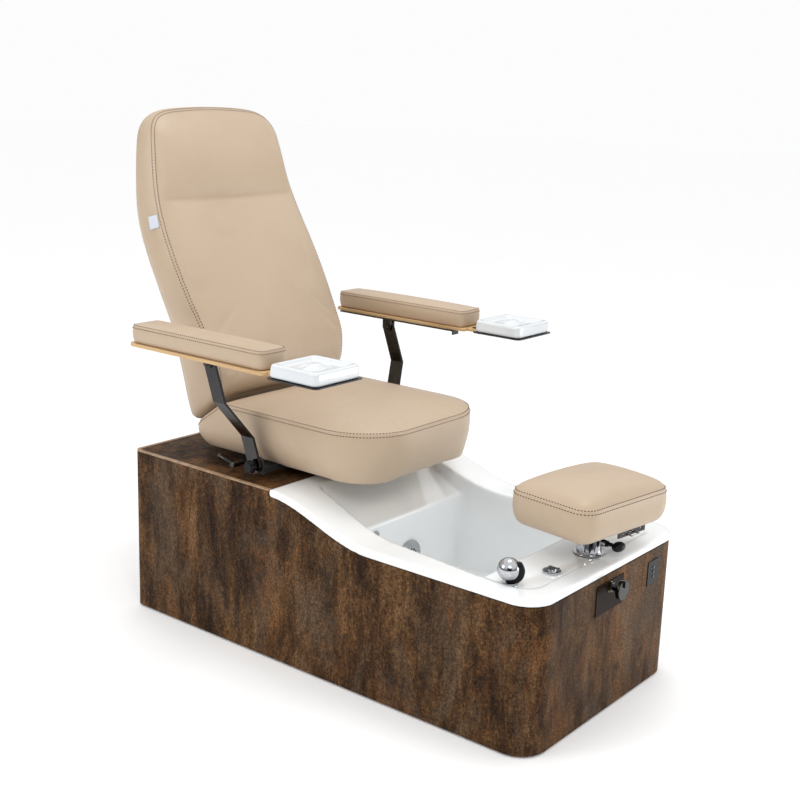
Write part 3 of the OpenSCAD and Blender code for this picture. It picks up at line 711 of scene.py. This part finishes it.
def back():
    """Tall tapered back: crowned face with a sewn-in head roll, edge seam, deep side band, rear panel."""
    nx, ny = 56, 88
    side = np.array([(w, z) for z, w in BACK_SIDE])
    bottom_z = side[0, 1]
    bottom_x = side[0, 0] - BACK_CORNER
    low = np.array([(x, bottom_z) for x in np.linspace(-bottom_x, bottom_x, 12)])
    right = np.vstack([arc(bottom_x, bottom_z + BACK_CORNER, BACK_CORNER, -90, 0, 6), side[2:]])
    top_x = side[-1, 0]
    top_z = side[-1, 1]
    high = np.array([(x, top_z + 0.004 * (1 - (x / top_x) ** 2)) for x in np.linspace(top_x, -top_x, 10)])
    left = right[::-1] * np.array([-1, 1])
    loop = np.vstack([low, right[1:], high[1:], left[1:]])
    fine = evenly(np.vstack([loop, loop[:1]]), 900)[:-1]
    for _ in range(30):
        fine = 0.5 * fine + 0.25 * (np.roll(fine, 1, 0) + np.roll(fine, -1, 0))
    marks = [(-0.25, bottom_z), (0.25, bottom_z), (0.236, 1.428), (-0.236, 1.428)]
    cut = [int(np.argmin(np.linalg.norm(fine - np.array(m), axis=1))) for m in marks]
    outline = []
    for k in range(4):
        a, b = cut[k], cut[(k + 1) % 4]
        part = fine[a:b + 1] if b > a else np.vstack([fine[a:], fine[:b + 1]])
        outline.append(evenly(part, (nx, ny)[k % 2])[:-1])
    plan = np.vstack(outline)

    def placed(ring, f):
        x, z = ring[:, 0], ring[:, 1]
        y = softly(SEAM_LINE, z) * (1 - f) + softly(REAR_LINE, z) * f
        drop = f * 0.098 * (1 - smoothstep(z, 0.665, 0.87))
        return np.column_stack([x, y, z - drop])

    # per ring: inset in mm, and how far from the seam line to the rear line
    levels = [(7.0, -0.045), (3.0, -0.014), (0.0, 0.0), (1.4, 0.03), (-0.5, 0.09), (-2.4, 0.18),
              (-3.6, 0.30), (-4.0, 0.43), (-3.6, 0.56), (-2.4, 0.68), (-0.5, 0.79), (3.0, 0.88),
              (8.0, 0.945), (16.0, 0.98), (26.0, 1.0)]
    rings = [placed(inset(plan, d * MM), f) for d, f in levels]
    rings[0][:, 1] = rings[2][:, 1] - 6 * MM
    rings[1][:, 1] = rings[2][:, 1] - 3 * MM
    face = coons(rings[0], nx, ny)
    u = np.linspace(-1, 1, nx + 1)[None, :]
    v = np.linspace(-1, 1, ny + 1)[:, None]
    swell = ((1 - u ** 2) ** 0.5) * ((1 - v ** 8) ** 0.6)
    z = face[:, :, 2]
    want = softly(FACE_LINE, z, 0.014) - softly(SEAM_LINE, z)
    dent = 3 * MM * np.exp(-((z - CREASE_Z) / 0.013) ** 2) * (1 - np.abs(u) ** 6)
    face[:, :, 1] += (want + 6 * MM) * swell + dent
    rear = coons(rings[-1], nx, ny)
    verts, faces = shell(rings, nx, ny, face, rear)
    ob = make("back_upholstery", verts, faces, "leather", "back")
    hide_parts("backrest_cushion")
    first = len(rings) * len(plan)
    middle = range(first, first + (nx - 1) * (ny - 1))
    crease = [i for i in middle if abs(verts[i][2] - CREASE_Z) < 6 * MM]
    seam = stuffed(ob, nx, ny, len(rings), 13, 6, 3.0, 7 * MM, 2.6 * MM, crease)
    path = np.roll(seam, -nx, 0)[:len(plan) - nx + 1]
    stitch_rows("back_stitching", ob, [(path, False)], (5.2 * MM, -5.2 * MM), "back")
    back_cover(placed, plan, nx, ny)
    side_label(ob)


def back_cover(placed, plan, nx, ny):
    """Thin upholstered panel over the rear face."""
    levels = [(26.0, 0.97, 0.0), (22.0, 0.985, 2.0), (21.0, 1.0, 6.0), (22.5, 1.0, 9.0), (27.0, 1.0, 11.0),
              (35.0, 1.0, 12.0)]
    rings = []
    for d, f, push in levels:
        ring = placed(inset(plan, d * MM), f)
        ring[:, 1] += (push - 2.0) * MM
        ring[:, 2] -= push * 0.35 * MM
        rings.append(ring)
    rings = rings[::-1]
    outer = coons(rings[0], nx, ny)
    outer[:, :, 1] += pillow(nx, ny, 0.6) * 4 * MM
    inner = coons(rings[-1], nx, ny)
    verts, faces = shell(rings, nx, ny, outer, inner)
    ob = make("back_panel_cover", verts, [f[::-1] for f in faces], "leather", "back")
    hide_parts("back_panel")
    subdivided(ob)
    count = 2 * (nx + ny)
    line = points_of(ob.data)[count:2 * count]
    stitch_rows("back_panel_stitching", ob, [(line, True)], (0.0,), "back")


def side_label(ob):
    """Small blank woven tag folded into the side seam."""
    lo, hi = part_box("side_tag")
    tree = surface_of(ob)
    centre = Vector(((lo.x + hi.x) / 2, (lo.y + hi.y) / 2 - 15 * MM, (lo.z + hi.z) / 2 + 2 * MM))
    lean = math.radians(-20)
    up = Vector((0, math.sin(-lean), math.cos(lean)))
    verts, faces = [], []
    nu, nv = 8, 10
    for layer in (1.9, 1.1):
        for j in range(nv + 1):
            for i in range(nu + 1):
                u, v = i / nu - 0.5, j / nv - 0.5
                p = centre + Vector((0, 1, -0.36)).normalized() * (u * 34 * MM) + up * (v * 38 * MM)
                spot, n, _, _ = tree.find_nearest(p)
                wave = 0.5 * math.cos(2.2 * math.pi * u) * MM
                verts.append(spot + n * (layer * MM + wave + 0.8 * MM * (0.5 + u)))
    w = nu + 1
    size = w * (nv + 1)
    for j in range(nv):
        for i in range(nu):
            a = j * w + i
            faces.append((a, a + 1, a + w + 1, a + w))
            faces.append((size + a, size + a + w, size + a + w + 1, size + a + 1))
    rim = [j for j in range(w)] + [j * w + nu for j in range(1, nv + 1)]
    rim += [nv * w + i for i in range(nu - 1, -1, -1)] + [j * w for j in range(nv - 1, 0, -1)]
    for k in range(len(rim)):
        a, b = rim[k], rim[(k + 1) % len(rim)]
        faces.append((a, size + a, size + b, b))
    tag = make("side_tag_cloth", verts, faces, "tag", "back")
    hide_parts("side_tag")


def turned(points, angle, cx, cy):
    """Points turned about a vertical axis."""
    c, s = math.cos(angle), math.sin(angle)
    out = np.array(points, float)
    x, y = out[..., 0] - cx, out[..., 1] - cy
    out[..., 0] = cx + c * x - s * y
    out[..., 1] = cy + s * x + c * y
    return out


def unturned(span_x, span_y, angle, r):
    """Sides of a rounded rectangle, from the box round it when it is turned."""
    c, s = abs(math.cos(angle)), abs(math.sin(angle))
    a, b = span_x - 2 * r, span_y - 2 * r
    return (a * c - b * s) / (c * c - s * s) + 2 * r, (b * c - a * s) / (c * c - s * s) + 2 * r


def pad_rings(plan, levels):
    return [np.column_stack([inset(plan, d * MM), np.full(len(plan), z)]) for d, z in levels]


def footrest():
    """Foot pad: rounded corners, edge seam near the top, belly sides, wrapped round its board."""
    lo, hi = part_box("footrest_pad")
    cx, cy = (lo.x + hi.x) / 2, (lo.y + hi.y) / 2
    tilt = [j for j in frame["joints"] if j["name"] == "rest_tilt"][0]
    angle = math.atan2(-tilt["axis"][1], -tilt["axis"][0])
    nx, ny = 50, 38
    wide, deep = unturned(hi.x - lo.x, hi.y - lo.y, angle, 48 * MM)
    plan = rounded(cx - wide / 2 + 3 * MM, cy - deep / 2 + 3 * MM, cx + wide / 2 - 3 * MM,
                   cy + deep / 2 - 3 * MM, 45 * MM, 45 * MM, nx, ny)
    seam = lo.z + 89 * MM
    levels = [(8.0, seam + 6 * MM), (3.2, seam + 2.4 * MM), (0.0, seam), (1.2, seam - 3.5 * MM),
              (-0.5, seam - 9 * MM), (-2.2, seam - 18 * MM), (-3.0, seam - 30 * MM), (-2.6, seam - 43 * MM),
              (-1.0, seam - 56 * MM), (2.0, seam - 68 * MM), (7.0, seam - 79 * MM), (14.0, seam - 86 * MM),
              (24.0, seam - 88.5 * MM), (35.0, seam - 88.0 * MM), (36.5, seam - 80 * MM),
              (37.0, seam - 75 * MM)]
    rings = pad_rings(plan, levels)
    top = coons(rings[0], nx, ny)
    top[:, :, 2] += pillow(nx, ny, 0.45) * (hi.z - seam - 5 * MM)
    bottom = coons(rings[-1], nx, ny)
    verts, faces = shell(rings, nx, ny, top, bottom)
    verts = turned(verts, angle, cx, cy)
    ob = make("footrest_upholstery", verts, faces, "leather", "rest")
    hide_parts("footrest_pad")
    seam_line = stuffed(ob, nx, ny, len(rings), 12, 6, 3.0, 5 * MM, 2.4 * MM)
    stitch_rows("footrest_stitching", ob, [(seam_line, True)], (5.0 * MM, -5.0 * MM), "rest")


def arm_pad(side):
    """Long arm pad with a flat base and a double-stitched top edge."""
    lo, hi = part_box("arm_pad_" + side)
    nx, ny = 16, 70
    edge, corner = 1.5 * MM, 17 * MM
    plan = rounded(lo.x + edge, lo.y + edge, hi.x - edge, hi.y - edge, corner, corner, nx, ny)
    seam = hi.z - 5 * MM
    levels = [(6.0, seam + 4.6 * MM), (2.8, seam + 2.0 * MM), (0.0, seam), (1.0, seam - 3.0 * MM),
              (-0.4, seam - 8 * MM), (-1.4, seam - 14 * MM), (-1.6, seam - 22 * MM), (-0.8, seam - 30 * MM),
              (0.6, seam - 37 * MM), (2.6, seam - 42 * MM), (6.0, lo.z + 1.0 * MM), (11.0, lo.z + 0.8 * MM)]
    rings = pad_rings(plan, levels)
    top = coons(rings[0], nx, ny)
    top[:, :, 2] += pillow(nx, ny, 0.5) * 6.5 * MM
    bottom = coons(rings[-1], nx, ny)
    verts, faces = shell(rings, nx, ny, top, bottom)
    ob = make("arm_upholstery_" + side, verts, faces, "leather", "arm_" + side)
    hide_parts("arm_pad_" + side)
    seam_line = stuffed(ob, nx, ny, len(rings), 10, 4, 3.0, 3 * MM, 1.8 * MM)
    stitch_rows("arm_stitching_" + side, ob, [(seam_line, True)], (4.2 * MM, -4.2 * MM), "arm_" + side,
                7.6 * MM, 4.8 * MM, 1.05 * MM)


# ------------------------------------------------------------------ moulded parts

def remeshed(node, name, body, material, voxel, rounds):
    """A rounded, moulded version of a CAD node: voxel remesh, then smoothing of its sharp edges."""
    mesh = frame["nodes"][node].data.copy()
    ob = bpy.data.objects.new(name, mesh)
    scene.collection.objects.link(ob)
    weld = ob.modifiers.new("weld", "WELD")
    weld.merge_threshold = 1e-5
    grid = ob.modifiers.new("grid", "REMESH")
    grid.mode = "VOXEL"
    grid.voxel_size = voxel
    soft = ob.modifiers.new("soft", "SMOOTH")
    soft.factor = 0.5
    soft.iterations = rounds
    shown = ob.evaluated_get(bpy.context.evaluated_depsgraph_get())
    final = bpy.data.meshes.new_from_object(shown)
    ob.modifiers.clear()
    ob.data = final
    final.materials.clear()
    final.materials.append(MATERIAL[material])
    final.polygons.foreach_set("use_smooth", [True] * len(final.polygons))
    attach(ob, body)
    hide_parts(node)


def bowl(side):
    """Square manicure bowl: soft outer edge, shallow well, raised oval in the middle, round foot below."""
    lo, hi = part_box("bowl_" + side)
    cx, cy = (lo.x + hi.x) / 2, (lo.y + hi.y) / 2
    hx, hy = (hi.x - lo.x) / 2, (hi.y - lo.y) / 2
    base = hi.z - 35 * MM
    nx, ny = 40, 38
    # per ring: inset and height above the base, in mm
    levels = [(28.0, 27.0), (25.0, 27.1), (22.0, 27.6), (19.5, 29.0), (17.5, 31.4), (15.5, 33.6),
              (13.0, 34.7), (9.0, 35.0), (5.6, 34.5), (3.0, 32.8), (1.5, 29.6), (0.8, 22.0),
              (0.3, 14.0), (0.0, 7.0), (0.8, 3.0), (3.0, 0.8), (6.5, 0.3), (14.0, 0.3)]
    rings = []
    for d, z in levels:
        r = max(15 - d, 11.5 + 0.12 * d) * MM
        wide, deep = hx - d * MM, hy - d * MM
        ring = rounded(cx - wide, cy - deep, cx + wide, cy + deep, r, r, nx, ny)
        rings.append(np.column_stack([ring, np.full(len(ring), base + z * MM)]))
    top = coons(rings[0], nx, ny)
    dx = (top[:, :, 0] - cx) / 0.027
    dy = (top[:, :, 1] - cy) / 0.017
    out = np.sqrt(dx * dx + dy * dy)
    dome = 9.0 * MM * np.exp(-out ** 3.2)
    moat = 2.2 * MM * np.exp(-((out - 1.55) / 0.35) ** 2)
    top[:, :, 2] += dome - moat
    bottom = coons(rings[-1], nx, ny)
    verts, faces = shell(rings, nx, ny, top, bottom)
    foot = lathe([(12 * MM, -15 * MM), (34 * MM, -14.6 * MM), (41.5 * MM, -13 * MM), (45 * MM, -9.5 * MM),
                  (46.5 * MM, -4 * MM), (46.8 * MM, 0.5 * MM), (20 * MM, 1 * MM)], (cx, cy, base))
    ob = make("bowl_moulding_" + side, *joined((verts, faces), foot), "pearl", "dish_" + side, "acrylic")
    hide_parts("bowl_" + side)
    subdivided(ob)


def hand_spray():
    """Ball-shaped chrome spray head on a curved dark neck."""
    lo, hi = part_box("hand_spray")
    cx, cy = (lo.x + hi.x) / 2, (lo.y + hi.y) / 2
    r = (hi.x - lo.x) / 2
    cz = hi.z - r
    profile = []
    ball_r = r * 0.93
    steps = 25
    for k in range(steps):
        a = math.pi * (k + 0.35) / (steps - 0.3)
        profile.append((ball_r * math.sin(a), -ball_r * math.cos(a)))
    ball = lathe(profile, (cx - 3 * MM, cy + 2 * MM, cz), 56)
    head = make("spray_head", *ball, "chrome", "spray")
    subdivided(head)
    path = [(cx + 2 * MM, cy - 16 * MM, cz + 21 * MM), (cx + 5 * MM, cy - 21 * MM, cz + 14 * MM),
            (cx + 8 * MM, cy - 24 * MM, cz + 4 * MM), (cx + 9 * MM, cy - 24 * MM, cz - 8 * MM),
            (cx + 8 * MM, cy - 20 * MM, cz - 19 * MM), (cx + 5 * MM, cy - 11 * MM, cz - 27 * MM),
            (cx, cy, cz - 34 * MM), (cx, cy, lo.z + 2 * MM)]
    fine = smooth_path(path, 6)
    radii = np.interp(np.linspace(0, 1, len(fine)), [0, 0.1, 0.35, 0.62, 0.75, 1.0],
                      [3 * MM, 8.5 * MM, 10 * MM, 9.5 * MM, 9.2 * MM, 9.0 * MM])
    neck = make("spray_neck", *tube(fine, radii, 28), "black_plastic", "spray", "chrome")
    subdivided(neck)
    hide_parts("hand_spray")


def smooth_path(points, steps):
    """A Catmull-Rom line through the points."""
    p = [Vector(q) for q in points]
    p = [p[0] * 2 - p[1]] + p + [p[-1] * 2 - p[-2]]
    out = []
    for i in range(1, len(p) - 2):
        for k in range(steps):
            t = k / steps
            a = 2 * p[i] + (p[i + 1] - p[i - 1]) * t
            b = (2 * p[i - 1] - 5 * p[i] + 4 * p[i + 1] - p[i + 2]) * t * t
            c = (3 * p[i] - p[i - 1] - 3 * p[i + 1] + p[i + 2]) * t ** 3
            out.append((a + b + c) * 0.5)
    out.append(p[-2])
    return out


def softened(node):
    """A CAD node's sharp edges get a small rounding."""
    ob = frame["nodes"][node]
    weld = ob.modifiers.new("weld", "WELD")
    weld.merge_threshold = 1e-5
    bevel = ob.modifiers.new("rounding", "BEVEL")
    bevel.width = EDGE_ROUNDING
    bevel.segments = 2
    bevel.limit_method = "ANGLE"
    bevel.angle_limit = math.radians(35)
    bevel.harden_normals = True
    bevel.use_clamp_overlap = True


def dress_cad():
    """Materials for the CAD nodes that stay, and edge rounding for the ones that show their edges."""
    slots = {row["node"]: row["material_slot"] for row in frame["record"]["subparts"]}
    for name, ob in frame["nodes"].items():
        ob.data.materials.clear()
        ob.data.materials.append(MATERIAL["steel" if name == "recline_lever" else slots[name]])
    for name in ("cladding_front", "cladding_rear", "deck", "mixer_plate", "control_panel", "arm_board_r",
                 "arm_board_l", "arm_rail_r", "arm_rail_l", "tray_plate_r", "tray_plate_l", "upright_r",
                 "upright_l", "arm_knob_r", "arm_knob_l", "tilt_bracket", "footrest_head", "seat_frame",
                 "mixer_knob", "drain_knob", "post_sleeve", "recline_lever", "jet_cover", "control_box"):
        softened(name)


# ------------------------------------------------------------------ stage

def camera():
    """The photograph's viewpoint, solved from the plinth's corners and top lines."""
    data = bpy.data.cameras.new("camera")
    data.lens = 57.2
    data.sensor_width = 36
    data.clip_start = 0.05
    ob = bpy.data.objects.new("camera", data)
    azimuth, elevation, roll = map(math.radians, (-51.86, 14.07, 1.91))
    flat = math.cos(elevation)
    backward = Vector((math.sin(azimuth) * flat, -math.cos(azimuth) * flat, math.sin(elevation)))
    right = (-backward).cross(Vector((0, 0, 1))).normalized()
    up = backward.cross(right)
    rolled_right = right * math.cos(roll) + up * math.sin(roll)
    rolled_up = -right * math.sin(roll) + up * math.cos(roll)
    placed = Matrix((rolled_right, rolled_up, backward)).transposed().to_4x4()
    placed.translation = Vector((-2.6786, -2.1074, 1.5535))
    ob.matrix_world = placed
    scene.collection.objects.link(ob)
    scene.camera = ob


def area(name, place, target, size, power, tint=(1, 1, 1)):
    """A rectangular light at a place, turned to a target. Its power is in watts."""
    data = bpy.data.lights.new(name, "AREA")
    data.shape = "RECTANGLE"
    data.size, data.size_y = size
    data.energy = power
    data.color = tint
    ob = bpy.data.objects.new(name, data)
    ob.location = place
    ob.rotation_mode = "QUATERNION"
    ob.rotation_quaternion = (Vector(target) - Vector(place)).to_track_quat("-Z", "Y")
    scene.collection.objects.link(ob)


def paper_floor():
    """Pale paper floor, a hair below the chair."""
    s = Shader("floor_paper")
    tone = s.noise(3.0, 3.0, 0.5)
    color = s.ramp(tone, [(0.3, (0.955, 0.955, 0.955)), (0.7, (0.965, 0.965, 0.965))])
    s.set(color=color, rough=0.9, spec=0.1, glow=(1.0, 1.0, 1.0, 1.0), glow_power=0.08)
    mesh = bpy.data.meshes.new("floor")
    w = 30.0
    z = cad_box[0].z - 0.2 * MM
    mesh.from_pydata([(-w, -w, z), (w, -w, z), (w, w, z), (-w, w, z)], [], [(0, 1, 2, 3)])
    mesh.materials.append(s.material)
    ob = bpy.data.objects.new("floor", mesh)
    scene.collection.objects.link(ob)


def sky():
    """Even pale backdrop for the camera. Light and reflections see a white sky instead, dark at and below
    the horizon, with a dark patch behind the camera that gives the chrome some contrast."""
    world = bpy.data.worlds.new("studio")
    world.use_nodes = True
    tree = world.node_tree
    nodes, link = tree.nodes, tree.links.new
    nodes.clear()
    out = nodes.new("ShaderNodeOutputWorld")
    seen = nodes.new("ShaderNodeBackground")
    lit = nodes.new("ShaderNodeBackground")
    mix = nodes.new("ShaderNodeMixShader")
    path = nodes.new("ShaderNodeLightPath")
    coord = nodes.new("ShaderNodeTexCoord").outputs["Generated"]
    split = nodes.new("ShaderNodeSeparateXYZ")
    link(coord, split.inputs[0])
    ramp = nodes.new("ShaderNodeValToRGB")
    low, high = ramp.color_ramp.elements
    low.position = 0.0
    low.color = (0.10, 0.10, 0.11, 1)
    high.position = 0.5
    high.color = (1, 1, 1, 1)
    link(split.outputs["Z"], ramp.inputs["Fac"])
    toward = nodes.new("ShaderNodeVectorMath")
    toward.operation = "DOT_PRODUCT"
    toward.inputs[1].default_value = (-0.76, -0.60, 0.25)
    link(coord, toward.inputs[0])
    shade = nodes.new("ShaderNodeMapRange")
    shade.interpolation_type = "SMOOTHSTEP"
    for name, value in (("From Min", 0.88), ("From Max", 0.97), ("To Min", 1.0), ("To Max", 0.06)):
        shade.inputs[name].default_value = value
    link(toward.outputs["Value"], shade.inputs["Value"])
    dim = nodes.new("ShaderNodeVectorMath")
    dim.operation = "SCALE"
    link(ramp.outputs["Color"], dim.inputs[0])
    link(shade.outputs["Result"], dim.inputs["Scale"])
    link(dim.outputs[0], lit.inputs["Color"])
    seen.inputs["Color"].default_value = (0.978, 0.98, 0.98, 1)
    seen.inputs["Strength"].default_value = 1.0
    lit.inputs["Strength"].default_value = 1.05
    link(path.outputs["Is Camera Ray"], mix.inputs["Fac"])
    link(lit.outputs[0], mix.inputs[1])
    link(seen.outputs[0], mix.inputs[2])
    link(mix.outputs[0], out.inputs[0])
    scene.world = world


def studio():
    """Floor, sky and four soft lights."""
    paper_floor()
    sky()
    area("key", (-2.6, -2.7, 3.1), (0, 0.2, 0.7), (1.4, 1.4), 36, (1.0, 0.985, 0.96))
    area("fill", (2.6, -3.0, 0.7), (0, -0.7, 0.2), (2.2, 1.0), 30, (0.96, 0.98, 1.0))
    area("top", (0.4, -0.2, 3.4), (0, 0, 0.5), (1.0, 1.2), 22)
    area("side", (-3.4, 1.6, 2.2), (0, 0.4, 1.0), (1.4, 1.4), 34)
    scene.view_settings.view_transform = "Standard"


dress_cad()
seat()
back()
footrest()
for arm_side in ("r", "l"):
    arm_pad(arm_side)
    bowl(arm_side)
hand_spray()
remeshed("basin", "basin_moulding", "base", "acrylic", 4.0 * MM, 15)
studio()
camera()
